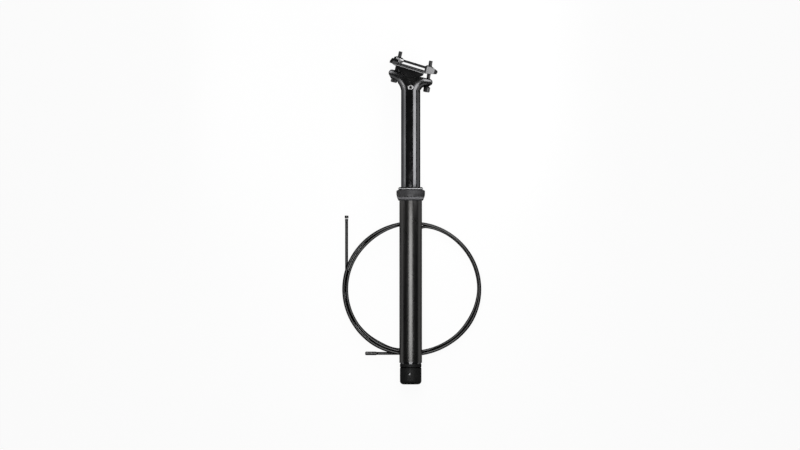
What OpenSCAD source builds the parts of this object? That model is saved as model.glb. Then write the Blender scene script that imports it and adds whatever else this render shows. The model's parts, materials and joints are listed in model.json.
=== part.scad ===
// Dropper seatpost lying on its side, with its coil of cable housing under it.
// Local frame of the post: z runs up the post from the end of the lower tube, x points to the front.

/* [Lower tube] */
// Outside diameter of the lower tube, the size that fits the bicycle frame
lower_d = 31.6; // [30.9:0.1:34.9]
// Wall of the lower tube
lower_wall = 1.6; // [1.4:0.1:2]
// Length of the lower tube below the collar
lower_len = 224.8; // [205:0.2:245]
// Length of the threaded neck inside the collar
neck_len = 7; // [5:0.5:9]

/* [Upper tube] */
// Outside diameter of the upper tube
upper_d = 26.8; // [26.4:0.1:27.2]
// Wall of the upper tube
upper_wall = 1.8; // [1.5:0.1:2.2]
// Length of upper tube that shows above the wiper seal
upper_show = 135.4; // [130:0.2:150]
// Length of upper tube inside the lower tube and collar
upper_inside = 106; // [98:1:112]
// Diameter of a key pin
key_d = 2.6; // [2.2:0.1:3]
// Length of a key pin
key_len = 18; // [12:1:24]
// Number of key pins round the tube
key_count = 3; // [2:1:4]
// Height of the bushing at the foot of the upper tube
glide_h = 12; // [8:1:14]

/* [Collar] */
// Height of the collar
collar_h = 15.4; // [14:0.2:18]
// Largest diameter of the collar
collar_d = 39.8; // [38:0.2:42]
// Height of the wiper seal above the collar
wiper_h = 3.3; // [2.6:0.1:4]
// Number of grip notches round the collar
notch_count = 24; // [16:1:30]
// Height of the bushing inside the tube's mouth
top_bush_h = 24; // [16:1:30]

/* [Cartridge] */
// Outside diameter of the gas cylinder
cyl_d = 21.4; // [20:0.2:22]
// Wall of the gas cylinder
cyl_wall = 1.4; // [1:0.1:1.8]
// Diameter of the piston rod
rod_d = 8; // [7:0.5:10]
// Diameter of the valve pin inside the rod
valve_d = 3; // [2:0.2:3.4]
// Height of the piston, the floating piston and the gland
piston_h = 10; // [8:0.5:12]

/* [Actuator] */
// Outside diameter of the actuator housing
act_d = 30; // [29:0.2:30.4]
// Height of the actuator housing
act_h = 28.4; // [26:0.2:32]
// Wall of the actuator housing
act_wall = 2.4; // [2:0.1:3]
// Gap between the housing and the tube, where the plug's flange shows
act_gap = 2.8; // [2:0.1:4]
// Radius of the housing's bottom edge
act_edge = 5; // [3:0.5:6]
// Diameter of the lever's pivot pin
pivot_d = 2.4; // [2:0.1:3]
// Distance from the post's axis to the pivot, and the lift of the cam per radian
pivot_off = 1.4; // [1.2:0.1:2]
// Height of the pivot above the housing's bottom
pivot_up = 14.5; // [13.5:0.5:15]
// Length of the lever's arm from the pivot to the cable barrel
arm_len = 6.4; // [6:0.1:6.8]
// Diameter of the bore that takes the end of the cable housing
stop_d = 5.2; // [4.6:0.1:5.6]

/* [Head] */
// Height of the head from the tube's end to the bottom of the cradle seat
head_rise = 17.4; // [17:0.2:19]
// Radius of the rear flare from the tube into the ear
rear_flare = 20; // [17:0.5:22]
// Radius of the front flare from the tube into the ear
front_flare = 8; // [7:0.5:9]
// Radius of the round seat that the cradle rocks in
rock_r = 27.5; // [26.5:0.5:28.5]
// Forward place of the rocking centre
rock_x = 5; // [4:0.5:6]

/* [Saddle clamp] */
// Tilt of the saddle rails, nose down
rail_tilt = 17; // [15:0.5:19]
// Diameter of a saddle rail
rail_d = 7; // [6.8:0.1:7.2]
// Distance between the two rails
rail_gap = 44; // [43:0.5:45]
// Wall outside each rail
rail_lip = 3; // [2.5:0.1:3.5]
// Thickness of the upper clamp plate
plate_t = 1.8; // [1.5:0.1:2.4]
// Distance between the two clamp bolts
bolt_gap = 44.9; // [44:0.1:46]
// Diameter of a clamp bolt's shank
bolt_d = 5; // [4:0.1:5.4]
// Lean of the front bolt from the post's axis
front_lean = 8.5; // [7:0.5:10]
// Lean of the rear bolt from the post's axis
rear_lean = 13; // [11:0.5:15]
// Diameter of a barrel nut
nut_d = 8; // [7.6:0.1:8.4]

/* [Cable housing] */
// Diameter of the cable housing
cord_d = 4; // [3.6:0.1:4.2]
// Radius of the inner loop of the coil
loop_r = 90.7; // [90:0.1:92]
// Distance between two loops that lie side by side
loop_step = 4.6; // [4.6:0.1:5]

/* [Hidden] */
$fn = 64;

// Clearances: running fits and free gaps
run = 0.06;
free = 0.3;

// Radii
lower_r = lower_d / 2;
bore_r = lower_r - lower_wall;
neck_r = lower_r - 0.5;
upper_r = upper_d / 2;
upper_in = upper_r - upper_wall;
cyl_r = cyl_d / 2;
cyl_in = cyl_r - cyl_wall;
rod_r = rod_d / 2;
valve_r = valve_d / 2;
act_r = act_d / 2;
rail_r = rail_d / 2;
bolt_r = bolt_d / 2;
nut_r = nut_d / 2;
cord_r = cord_d / 2;

// Heights along the post
neck_top = lower_len + neck_len;
collar_top = lower_len + collar_h;
wiper_top = collar_top + wiper_h;
upper_top = wiper_top + upper_show;
upper_foot = wiper_top - upper_inside;
travel = 125;
act_top = -act_gap;
act_foot = act_top - act_h;
pivot_z = act_foot + pivot_up;

// The post lies on the clamp's side, at this height above the surface
half_w = rail_gap / 2 + rail_r + rail_lip;

// Turns the post's frame so that the post lies along y with its left side up
module lay() {
    rotate([-90, 0, 0]) children();
}

// A ring or tube between two radii and two heights
module ring(r_out, r_in, z0, z1) {
    translate([0, 0, z0]) difference() {
        cylinder(h = z1 - z0, r = r_out);
        translate([0, 0, -1]) cylinder(h = z1 - z0 + 2, r = r_in);
    }
}

// A bar across the post, from one side to the other, at a place in the side view
module cross_bar(x, z, r, y0, y1) {
    translate([x, y0, z]) rotate([-90, 0, 0]) cylinder(h = y1 - y0, r = r);
}

// A side view drawn in x and z, made solid between two places across the post
module side_solid(y0, y1) {
    translate([0, y1, 0]) rotate([90, 0, 0]) linear_extrude(y1 - y0) children();
}

// Places round the post for the key pins
module key_places(r) {
    for (i = [0 : key_count - 1]) rotate([0, 0, 90 + i * 360 / key_count]) translate([r, 0, 0]) children();
}

// Lower tube and what is fixed to it

key_z = upper_foot + glide_h + 1;
key_axis = (upper_r + bore_r) / 2;
groove_r = key_d / 2 + run;
groove_top = key_z + key_len + 2;
groove_foot = key_z - travel - 2;

module lower_tube() color("#1c1c1d") lay() difference() {
    rotate_extrude() polygon([
        [bore_r, 0], [lower_r, 0], [lower_r, lower_len],
        [neck_r, lower_len], [neck_r, neck_top], [bore_r, neck_top]]);
    key_places(key_axis) translate([0, 0, groove_foot]) cylinder(h = groove_top - groove_foot, r = groove_r);
}

collar_r = collar_d / 2;
notch_r = 1.3;
notch_z = 4.4;
lip_h = 1.2;
wiper_seat = collar_top - 3.4;
shoulder = 0.3;

module seal_collar() color("#2b2b2c") lay() difference() {
    rotate_extrude() polygon([
        [neck_r + run, lower_len], [lower_r + lip_h, lower_len], [collar_r - 1.6, lower_len + 2.4],
        [collar_r - 0.7, lower_len + 5], [collar_r, lower_len + 9], [collar_r, collar_top - 2],
        [collar_r - 1, collar_top - 1], [upper_r + 3.2, collar_top - shoulder], [upper_r + 3.2, collar_top],
        [upper_r + 2.4, collar_top], [upper_r + 2.4, wiper_seat], [upper_r + 2, wiper_seat],
        [upper_r + 2, neck_top + run], [neck_r + run, neck_top + run]]);
    for (i = [0 : notch_count - 1]) rotate([0, 0, i * 360 / notch_count])
        translate([collar_r - 0.2, 0, lower_len + 2.2]) cylinder(h = notch_z, r = notch_r);
}

module wiper_seal() color("#a9a9ab") lay() rotate_extrude() polygon([
    [upper_r + run, wiper_seat + run], [upper_r + 2.4 - run, wiper_seat + run],
    [upper_r + 2.4 - run, collar_top + run], [upper_r + 3.6, collar_top + run],
    [upper_r + 4.1, collar_top + 0.7], [upper_r + 4.1, collar_top + 1.7], [upper_r + 3.4, collar_top + 2.2],
    [upper_r + 2.6, wiper_top], [upper_r + run, wiper_top]]);

module foam_ring() color("#6a655c") lay()
    ring(upper_r + 2 - run, upper_r + run, neck_top + run, wiper_seat - run);

module upper_bushing() color("#3b3a36") lay()
    ring(bore_r, upper_r + run, neck_top - top_bush_h, neck_top);

plug_h = 8;
flange_h = 1;
o_ring_d = 1.6;
o_ring_z = 4;

module base_plug() color("#8d8d90") lay() difference() {
    union() {
        translate([0, 0, -flange_h]) cylinder(h = flange_h, r = lower_r);
        translate([0, 0, act_top]) cylinder(h = act_gap, r = act_r - 0.4);
        cylinder(h = plug_h, r = bore_r);
    }
    translate([0, 0, act_top - 1]) cylinder(h = plug_h + act_gap + 2, r = rod_r);
    rotate_extrude() translate([bore_r, o_ring_z]) square([2 * o_ring_d, o_ring_d], center = true);
}

module base_o_ring() color("#151515") lay()
    ring(bore_r, bore_r - o_ring_d, o_ring_z - o_ring_d / 2, o_ring_z + o_ring_d / 2);

// Actuator under the tube

cavity_r = act_r - act_wall;
lever_w = 9;
stop_x = -pivot_off - arm_len;
stop_wall = 1;
stop_r = stop_d / 2 + stop_wall;
stop_h = 5;
stop_foot = act_foot + 0.3;
band_z = act_top - 5.6;
band_h = 1.4;
band_depth = 0.5;

module actuator_housing() color("#202021") lay() difference() {
    rotate_extrude() {
        translate([0, act_foot + act_edge]) square([act_r, act_h - act_edge]);
        square_foot = act_r - act_edge;
        translate([0, act_foot]) square([square_foot, act_edge]);
        intersection() {
            translate([square_foot, act_foot + act_edge]) circle(r = act_edge);
            translate([square_foot, act_foot]) square([act_edge, act_edge]);
        }
    }
    translate([0, 0, act_foot + act_wall]) cylinder(h = act_h, r = cavity_r);
    ring(act_r + 1, act_r - band_depth, band_z, band_z + band_h);
    cross_bar(-pivot_off, pivot_z, pivot_d / 2, -act_r - 1, act_r + 1);
    translate([stop_x, 0, act_foot - 1]) cylinder(h = act_wall + 2, r = stop_r);
}

module lever_pivot_pin() color("#c9c9cc") lay()
    cross_bar(-pivot_off, pivot_z, pivot_d / 2, -act_r + 1, act_r - 1);

module cable_stop() color("#3a3a3c") lay() translate([stop_x, 0, stop_foot]) difference() {
    cylinder(h = stop_h, r = stop_r);
    translate([0, 0, -1]) cylinder(h = stop_h, r = stop_d / 2);
    cylinder(h = stop_h + 1, r = 1);
}

// Cartridge: the rod stands on the base plug, the cylinder rides in the upper tube

gland_z = upper_foot + 4;
piston_z = gland_z + piston_h + 2;
rod_top = piston_z + piston_h;
rod_foot = act_top - 7;
nut_h = 5;
valve_run = 0.05;
valve_foot = pivot_z + pivot_d / 2 + 4.2;
valve_top = 30;
valve_bore_top = valve_top + 4;

module piston_rod() color("#b9babd") lay() difference() {
    translate([0, 0, rod_foot]) cylinder(h = rod_top - rod_foot, r = rod_r);
    translate([0, 0, rod_foot - 1]) cylinder(h = valve_bore_top - rod_foot + 1, r = valve_r + valve_run);
}

module rod_nut() color("#77787b") lay() translate([0, 0, act_top - nut_h]) difference() {
    cylinder(h = nut_h, r = rod_r + 4, $fn = 6);
    translate([0, 0, -1]) cylinder(h = nut_h + 2, r = rod_r);
}

module piston() color("#8f7a45") lay() ring(cyl_in - run, rod_r, piston_z, rod_top);

module valve_pin() color("#d5d6d8") lay() union() {
    translate([0, 0, valve_foot + 1]) cylinder(h = valve_top - valve_foot - 1, r = valve_r);
    translate([0, 0, valve_foot]) cylinder(h = 1, r1 = valve_r - 0.4, r2 = valve_r);
}

// Upper tube and what rides in it

glide_step = 0.6;

module stanchion() color("#0c0c0d") lay() difference() {
    rotate_extrude() polygon([
        [upper_in, upper_foot], [upper_r - glide_step, upper_foot],
        [upper_r - glide_step, upper_foot + glide_h], [upper_r, upper_foot + glide_h],
        [upper_r, upper_top], [upper_in, upper_top]]);
    key_places(key_axis) translate([0, 0, key_z]) cylinder(h = key_len, r = key_d / 2);
}

module glide_bushing() color("#4a4740") lay()
    ring(bore_r - run, upper_r - glide_step, upper_foot, upper_foot + glide_h);

module key_pins() color("#c8a64b") lay()
    key_places(key_axis) translate([0, 0, key_z]) cylinder(h = key_len, r = key_d / 2);

spigot_h = 18;
stem_r = 5;
stem_h = 7;
screw_r = 2;
screw_z = upper_top + 3.5;
cap_h = 8;
cyl_top = upper_top - spigot_h - 2;
float_z = rod_top + travel + 6;

module gas_cylinder() color("#9fa0a3") lay() ring(cyl_r, cyl_in, gland_z, cyl_top);

module cylinder_gland() color("#6d6e71") lay() ring(cyl_in, rod_r + run, gland_z, gland_z + piston_h);

module cylinder_cap() color("#6d6e71") lay() union() {
    translate([0, 0, cyl_top - cap_h]) cylinder(h = cap_h, r = cyl_in);
    translate([0, 0, cyl_top]) cylinder(h = upper_top + stem_h - cyl_top, r = stem_r);
}

module floating_piston() color("#8f7a45") lay()
    translate([0, 0, float_z]) cylinder(h = piston_h, r = cyl_in - run);

module cap_screw() color("#2a2a2b") lay() difference() {
    cross_bar(0, screw_z, screw_r, -upper_r + 0.6, -stem_r);
    translate([0, -upper_r + 2.6, screw_z]) rotate([90, 0, 0]) cylinder(h = 3, r = 1.1, $fn = 6);
}

// Saddle clamp frame: x along the rails, z square to them, zero on the rail axis

rock_z = upper_top + head_rise + rock_r;
rail_drop = 12.4;
rail_x = rock_x - rail_drop * sin(rail_tilt);
rail_z = rock_z - rail_drop * cos(rail_tilt);
nut_mid = 2.7;
nut_z = 3.2;

// Place in the side view of a point given along and square to the rails
function clamp_point(a, b) = [
    rail_x + a * cos(rail_tilt) + b * sin(rail_tilt),
    rail_z - a * sin(rail_tilt) + b * cos(rail_tilt)];

// Nut at the front (side 1) or at the rear (side -1)
function nut_at(side) = clamp_point(nut_mid + side * bolt_gap / 2, nut_z);

// Lean of the bolt on one side
function lean(side) = side > 0 ? front_lean : rear_lean;

// Points on an arc in a side view
function arc(c, r, a0, a1, n) = [for (i = [0 : n]) let (a = a0 + (a1 - a0) * i / n) c + r * [cos(a), sin(a)]];

module clamp_frame() {
    translate([rail_x, 0, rail_z]) rotate([0, rail_tilt, 0]) children();
}

module bolt_frame(side) {
    translate([nut_at(side)[0], 0, nut_at(side)[1]]) rotate([0, lean(side), 0]) children();
}

// Bolt measures along its axis from the nut
bolt_up = 12;
bolt_down = 32.2;
bolt_head_h = 6;
bolt_head_r = 4.6;
seat_r = 6.5;
seat_t = -30;
washer_r = 5.2;
ear_hole_r = bolt_r + 1.2;

// Head: two round pipes that bend from the tube into the ears, and a flat web between them with a rear horn

ear_r = 4.7;
front_ear = [25.8, upper_top + 10.6];
rear_ear = [-26.1, upper_top + 23.7];
ear_slope = 13;
edge_r = 5;
seat_cut = rock_r + free;
front_out = 3;
rear_out = 6;
bend_drop = 3;
bend_z = upper_top - bend_drop;
web_r = upper_r - 0.2;
ear_half = upper_r + 0.4;
horn = [[-17.2, upper_top + 31], [-20.6, upper_top + 29.3], [-22.4, upper_top + 27.2]];

// Points on the middle line of a pipe, from the tube to an angle of its bend
function pipe_mid(side, flare, turn) =
    arc([side * (upper_r + flare), bend_z], upper_r + flare, 90 + side * 90, 90 + side * (90 - turn), 6);

// A pipe as thick as the tube, bent round a flare's centre
module pipe(side, flare) translate([side * (upper_r + flare), 0, bend_z]) rotate([90, 0, 0])
    rotate_extrude() translate([upper_r + flare, 0]) circle(r = upper_r);

// Everything below an ear's sloping top, with round edges along it
module below_top(ear) {
    translate([ear[0], 0, ear[1]]) rotate([0, ear_slope, 0]) rotate([0, 90, 0])
        linear_extrude(4 * upper_d, center = true) {
            for (y = [edge_r - ear_half, ear_half - edge_r])
                translate([edge_r - ear_r, y]) circle(r = edge_r);
            translate([-ear_r, edge_r - ear_half]) square([2 * ear_r, 2 * ear_half - 2 * edge_r]);
            translate([edge_r - ear_r, -ear_half]) square([3 * upper_d, 2 * ear_half]);
        }
}

// Side view that rounds off the ears' ends, clear of the pipes elsewhere
module head_side() {
    translate(front_ear) circle(r = ear_r);
    translate(rear_ear) circle(r = ear_r);
    polygon([[upper_r + front_out, upper_top], front_ear + ear_r * [cos(50), -sin(50)],
        front_ear + ear_r * [sin(ear_slope), cos(ear_slope)], [rock_x, rock_z],
        rear_ear + ear_r * [sin(ear_slope), cos(ear_slope)], rear_ear - ear_r * [cos(35), sin(35)],
        [-upper_r - rear_out, upper_top]]);
}

// Plan with round corners at the ears' ends
module head_plan() {
    front_end = front_ear[0] + ear_r;
    rear_end = rear_ear[0] - ear_r;
    translate([rear_end + edge_r, -ear_half]) square([front_end - rear_end - 2 * edge_r, 2 * ear_half]);
    translate([rear_end, edge_r - ear_half]) square([front_end - rear_end, 2 * ear_half - 2 * edge_r]);
    for (x = [rear_end + edge_r, front_end - edge_r], y = [edge_r - ear_half, ear_half - edge_r])
        translate([x, y]) circle(r = edge_r);
}

module head_form() intersection() {
    union() {
        intersection() {
            pipe(1, front_flare);
            below_top(front_ear);
        }
        intersection() {
            pipe(-1, rear_flare);
            below_top(rear_ear);
        }
        side_solid(-web_r, web_r) polygon(concat(pipe_mid(1, front_flare, 70), horn,
            [for (i = [6 : -1 : 1]) pipe_mid(-1, rear_flare, 50)[i]]));
    }
    side_solid(-upper_d, upper_d) head_side();
    translate([0, 0, upper_top]) linear_extrude(rock_r + head_rise) head_plan();
}

module seat_head() color("#141415") lay() difference() {
    union() {
        head_form();
        translate([0, 0, upper_top - spigot_h]) cylinder(h = spigot_h, r = upper_in);
    }
    cross_bar(rock_x, rock_z, seat_cut, -rock_r, rock_r);
    translate([0, 0, upper_top - spigot_h - 1]) cylinder(h = spigot_h + stem_h + 2, r = stem_r + run);
    cross_bar(0, screw_z, screw_r, -upper_r - 3, -stem_r + 1);
    for (x = [-1.4, 1.4]) cross_bar(x, screw_z, 2.8, -upper_r - 3, -upper_r + 0.7);
    translate([-1.4, -upper_r - 3, screw_z - 2.8]) cube([2.8, 3.7, 5.6]);
    for (side = [-1, 1]) bolt_frame(side) {
        translate([0, 0, -bolt_down]) cylinder(h = bolt_down, r = ear_hole_r);
        translate([0, 0, seat_t]) sphere(r = seat_r + run);
        translate([0, 0, seat_t - seat_r]) cylinder(h = seat_r + 3.6, r = washer_r + free);
    }
}

// Clamp pieces

cradle_rear = -31;
cradle_front = 19;
cradle_top = -2.6;
bed_top = -0.6;
bed_floor = -5.4;
core_w = 32;
plate_foot = 2.7;
plate_top = rail_r + plate_t;
plate_rear = -27;
wall_front = nut_mid - bolt_gap / 2 - 0.6;
nut_len = 14;
slot_w = bolt_d + 2;

slot_count = 9;
slot_pitch = 4.2;
slot_t = 1.7;
slot_depth = 0.8;
slot_slant = 2.4;

// Slanted grip slots along the outer flanks of the cradle
module flank_slots() for (y = [-half_w, half_w], i = [0 : slot_count - 1])
    translate([cradle_front - 4 - i * slot_pitch, 0, 0]) side_solid(y - slot_depth, y + slot_depth)
        polygon([[-slot_slant, bed_floor + 1.2], [slot_t - slot_slant, bed_floor + 1.2],
            [slot_t, bed_top - 0.6], [0, bed_top - 0.6]]);

// Rail channels on both sides
module rails() for (y = [-rail_gap / 2, rail_gap / 2]) translate([0, y, 0]) rotate([0, 90, 0])
    cylinder(h = 200, r = rail_r, center = true);

// Round underside of the cradle, drawn in the clamp's frame
module rocker_side() {
    intersection() {
        translate([0, rail_drop]) circle(r = rock_r);
        translate([cradle_rear, -rock_r]) square([cradle_front - cradle_rear, rock_r + cradle_top]);
    }
}

module lower_cradle() color("#1a1a1b") lay() difference() {
    clamp_frame() difference() {
        union() {
            side_solid(-core_w / 2, core_w / 2) rocker_side();
            for (y0 = [-half_w, core_w / 2]) side_solid(y0, y0 + half_w - core_w / 2) polygon([
                [cradle_rear, cradle_top], [cradle_rear + 7, bed_floor], [cradle_front - 1.4, bed_floor],
                [cradle_front, bed_floor + 1], [cradle_front, bed_top], [cradle_rear, bed_top]]);
            for (y0 = [-half_w, half_w - rail_lip]) side_solid(y0, y0 + rail_lip) polygon([
                [cradle_rear, cradle_top], [cradle_rear + 1.6, rail_r - 0.6], [wall_front, rail_r],
                [wall_front + 0.8, bed_top - 1], [cradle_rear + 4, bed_top - 2]]);
            side_solid(-core_w / 2, core_w / 2) polygon([[cradle_rear, cradle_top - 1.4],
                [cradle_rear, cradle_top + 1], [cradle_rear + 1.6, rail_r - 0.4],
                [plate_rear - free, rail_r - 0.4], [plate_rear - free, cradle_top - 1.4]]);
        }
        rails();
        flank_slots();
    }
    bolt_frame(-1) translate([0, 0, -bolt_down]) {
        translate([-2, -slot_w / 2, 0]) cube([4, slot_w, bolt_down]);
        for (x = [-2, 2]) translate([x, 0, 0]) cylinder(h = bolt_down, r = slot_w / 2);
    }
}

boss_w = 24;
boss_r = nut_r + 1.2;
nut_front = nut_mid + bolt_gap / 2;
nut_rear = nut_mid - bolt_gap / 2;

module upper_clamp() color("#8b8c8f") lay() difference() {
    clamp_frame() difference() {
        union() {
            side_solid(-half_w, half_w) polygon([[nut_rear + 2, plate_foot], [nut_rear + 2, plate_top],
                [cradle_front, plate_top], [cradle_front, plate_foot]]);
            side_solid(-boss_w / 2, boss_w / 2) polygon([[plate_rear, plate_foot], [plate_rear, plate_top],
                [nut_rear - boss_r + 1, nut_z + nut_r], [nut_rear + boss_r - 1, nut_z + nut_r],
                [nut_rear + boss_r + 2, plate_top], [nut_rear + boss_r + 2, plate_foot],
                [nut_rear + 3, cradle_top + free], [nut_rear - 3, cradle_top + free]]);
            side_solid(-boss_w / 2, boss_w / 2) polygon([[cradle_front - 1, plate_top],
                [nut_front - boss_r, nut_z + nut_r + 0.4], [nut_front + 1, nut_z + nut_r + 1],
                [nut_front + 11.2, 4], [nut_front + 11.8, 2.4], [nut_front + 11, -0.6],
                [cradle_front + 2.4, -4.2], [cradle_front + free, -4.2]]);
        }
        rails();
        for (x = [nut_front, nut_rear]) {
            cross_bar(x, nut_z, nut_r + run, -nut_len / 2 - free, nut_len / 2 + free);
            translate([x - nut_r - run, -nut_len / 2 - free, nut_z])
                cube([nut_d + 2 * run, nut_len + 2 * free, 20]);
        }
    }
    for (side = [-1, 1]) bolt_frame(side) {
        translate([-1, -slot_w / 2, -20]) cube([2, slot_w, 40]);
        for (x = [-1, 1]) translate([x, 0, -20]) cylinder(h = 40, r = slot_w / 2);
    }
}

module clamp_bolt(side) lay() bolt_frame(side) difference() {
    union() {
        translate([0, 0, -bolt_down]) cylinder(h = bolt_up + bolt_down, r = bolt_r);
        rotate_extrude() polygon([[0, -bolt_down], [bolt_head_r - 1, -bolt_down],
            [bolt_head_r, -bolt_down + 1], [bolt_head_r, -bolt_down + bolt_head_h],
            [0, -bolt_down + bolt_head_h]]);
    }
    translate([0, 0, -bolt_down - 1]) cylinder(h = 4, r = 2.4, $fn = 6);
}

module front_bolt() color("#1f1f20") clamp_bolt(1);
module rear_bolt() color("#1f1f20") clamp_bolt(-1);

module clamp_washer(side) lay() bolt_frame(side) difference() {
    intersection() {
        translate([0, 0, seat_t]) sphere(r = seat_r);
        translate([0, 0, -bolt_down + bolt_head_h]) cylinder(h = seat_r, r = washer_r);
    }
    translate([0, 0, -bolt_down]) cylinder(h = bolt_down, r = bolt_r);
}

module front_washer() color("#2c2c2d") clamp_washer(1);
module rear_washer() color("#2c2c2d") clamp_washer(-1);

nut_hole_r = bolt_r + 0.45;

module barrel_nut(side) lay() bolt_frame(side) difference() {
    cross_bar(0, 0, nut_r, -nut_len / 2, nut_len / 2);
    translate([0, 0, -nut_d]) cylinder(h = 2 * nut_d, r = nut_hole_r);
}

module front_barrel_nut() color("#55565a") barrel_nut(1);
module rear_barrel_nut() color("#55565a") barrel_nut(-1);

// Actuator lever: an involute cam lifts the valve pin in proportion to the lever's angle

cam_gap = 0.1;
cam_up = valve_foot - pivot_z - cam_gap;
cam_w = 4;
hub_r = pivot_d / 2 + 2;
barrel_r = 2.2;
arm_end_r = barrel_r + 1.2;

// Point of the involute whose string leaves the base circle at angle a
function cam_point(a) =
    pivot_off * [cos(a), sin(a)] + (cam_up - pivot_off * a * PI / 180) * [-sin(a), cos(a)];

module actuator_lever() color("#4b4c50") lay() difference() {
    translate([-pivot_off, 0, pivot_z]) union() {
        side_solid(-cam_w / 2, cam_w / 2)
            polygon(concat([[-1, 0], [2, -1]], [for (i = [0 : 10]) cam_point(-45 + 8 * i)]));
        side_solid(-lever_w / 2, lever_w / 2) {
            circle(r = hub_r);
            translate([-arm_len, 0]) circle(r = arm_end_r);
            polygon([[0, hub_r], [-arm_len, arm_end_r], [-arm_len, -arm_end_r], [0, -hub_r]]);
        }
    }
    cross_bar(-pivot_off, pivot_z, pivot_d / 2 + run, -lever_w, lever_w);
    cross_bar(stop_x, pivot_z, barrel_r, -lever_w, lever_w);
    translate([stop_x, 0, pivot_z - lever_w]) cylinder(h = lever_w, r = 1.4);
    translate([stop_x, 0, pivot_z]) cylinder(h = lever_w, r = 1.4);
}

module cable_barrel() color("#b58f3c") lay() difference() {
    cross_bar(stop_x, pivot_z, barrel_r, -lever_w / 2, lever_w / 2);
    translate([stop_x, 0, pivot_z - 2 * barrel_r]) cylinder(h = 4 * barrel_r, r = 0.8);
    cross_bar(stop_x, pivot_z, 1, -lever_w, 0);
}

module barrel_screw() color("#2a2a2b") lay()
    cross_bar(stop_x, pivot_z, 1, -lever_w / 2, -1);

// Cable housing, which lies on the surface under the post. Its points are x, y and height above the surface.

floor_z = -half_w;
coil_x = 1.1;
coil_y = 101.2;
coil_squash = 0.975;
turn_r = 17;
coil_side = 2.05;
seated = 0.7;
low_h = cord_r + 0.1;
stack_h = cord_d + 0.6;
high_h = low_h + stack_h;
rest_h = half_w - lower_r - coil_side * sin(60) - seated;
mid_h = rest_h - stack_h;
stub_r = 90.5;
inner_r = loop_r - 1.9;
tail_r = loop_r + 1.1;
swell = 2.6;
dip = 1.1;
tuck = 2.6;
step_a = 15;
leave_a = 195;
join_a = 15;
end_a = 705;
drop_a = 355;

// Smooth step from 0 to 1 while a goes from a0 to a1
function ease(a, a0, a1) = let (t = min(1, max(0, (a - a0) / (a1 - a0)))) t * t * (3 - 2 * t);

// Smooth step up from a0 to a1 and down again from a2 to a3
function hump(a, a0, a1, a2, a3) = ease(a, a0, a1) - ease(a, a2, a3);

// Unit direction at a clock angle, turning right from the top
function clock(a) = [sin(a), cos(a)];

// Radius and height of the two loops at a clock angle counted on through the turns
function loop_rad(a) = loop_r + swell * hump(a, 20, 60, 85, 125) - dip * hump(a, 130, 160, 190, 215)
    + loop_step * ease(a, 310, 375) - tuck * hump(a, 475, 515, 550, 580);
function loop_high(a) = low_h + stack_h * ease(a, 140, 168) - (high_h - mid_h) * hump(a, 310, 340, 378, 400)
    + (rest_h - high_h) * (hump(a, 470, 505, 565, 600) + ease(a, 660, 700));

// From the stub the housing goes under the loops to their inside, back up under the post, and round twice
in_c = (inner_r - turn_r) * clock(leave_a);
out_c = (loop_r - turn_r) * clock(join_a);
link = out_c - in_c;
link_a = atan2(link[1], link[0]) + asin(2 * turn_r / norm(link));
entry = [for (a = [270 : -step_a : leave_a]) (stub_r + (inner_r - stub_r) * ease(-a, -240, -205)) * clock(a)];
turn_in = [for (i = [1 : 6]) let (a = 90 - leave_a + (link_a - 180 + leave_a) * i / 6)
    in_c + turn_r * [cos(a), sin(a)]];
turn_out = [for (i = [0 : 5]) let (a = link_a + 90 - (link_a + join_a) * i / 6)
    out_c + turn_r * [cos(a), sin(a)]];
link_mid = [for (t = [0.25, 0.5, 0.75]) turn_in[5] + t * (turn_out[0] - turn_in[5])];
flat_run = concat([[-stub_r, cord_d]], entry, turn_in, link_mid, turn_out);
loops = [for (a = [join_a : step_a : end_a]) let (p = loop_rad(a) * clock(a)) [p[0], p[1], loop_high(a)]];

// From the end of the loops it drops behind the post to the surface and turns out as the tail
drop_c = (loop_rad(360 + drop_a) - turn_r) * clock(drop_a);
foot_c = [drop_c[0], turn_r - tail_r];
drop_turn = [for (i = [0 : 6]) drop_c + turn_r * clock(drop_a + (450 - drop_a) * i / 6)];
foot_turn = [for (i = [0 : 6]) foot_c + turn_r * clock(90 + 15 * i)];
drop_run = [for (t = [0.035, 0.1, 0.25, 0.5, 0.75, 0.9, 0.965])
    drop_turn[6] + t * (foot_turn[0] - drop_turn[6])];
drop = concat(drop_turn, drop_run, foot_turn, [foot_turn[6] - [cord_d, 0]]);
drop_last = len(drop) - 1;
dropped = [for (i = [0 : drop_last])
    [drop[i][0], drop[i][1], rest_h + (low_h - rest_h) * ease(i / drop_last, 0.25, 0.65)]];
coil_run = concat([for (p = flat_run) [p[0], p[1], low_h]], loops, dropped);

// Places a coil point on the surface
function placed(p) = [coil_x + p[0], coil_y + coil_squash * p[1], floor_z + p[2]];

coil_path = [for (p = coil_run) placed(p)];

// Free runs, chosen by hand, from the coil to the two ferrules: place along the run and height
stub_run = [[116, 2.1], [128, 2.1], [140, 2.1], [152, 2.1], [164, 2.2], [176, 2.4], [188, 2.6], [196, 2.75]];
tail_run = [[-14, 2.1], [-24, 2.1], [-34, 2.3], [-42, 2.6], [-48, 2.75]];
stub_path = concat([coil_path[0]], [for (p = stub_run) [coil_path[0][0], p[0], floor_z + p[1]]]);
tail_y = coil_path[len(coil_path) - 1][1];
tail_path = concat([coil_path[len(coil_path) - 1]], [for (p = tail_run) [p[0], tail_y, floor_z + p[1]]]);

function unit(v) = v / norm(v);

// Direction of a path at a point, from its neighbours
function heading(path, i) = unit(path[min(i + 1, len(path) - 1)] - path[max(i - 1, 0)]);

// Ring of points round a path, square to its direction d
function ring_at(p, d, r, sides) = let (s = unit(cross(d, [0, 0, 1])), u = cross(s, d))
    [for (k = [0 : sides - 1]) p + r * (cos(360 * k / sides) * s + sin(360 * k / sides) * u)];

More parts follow.
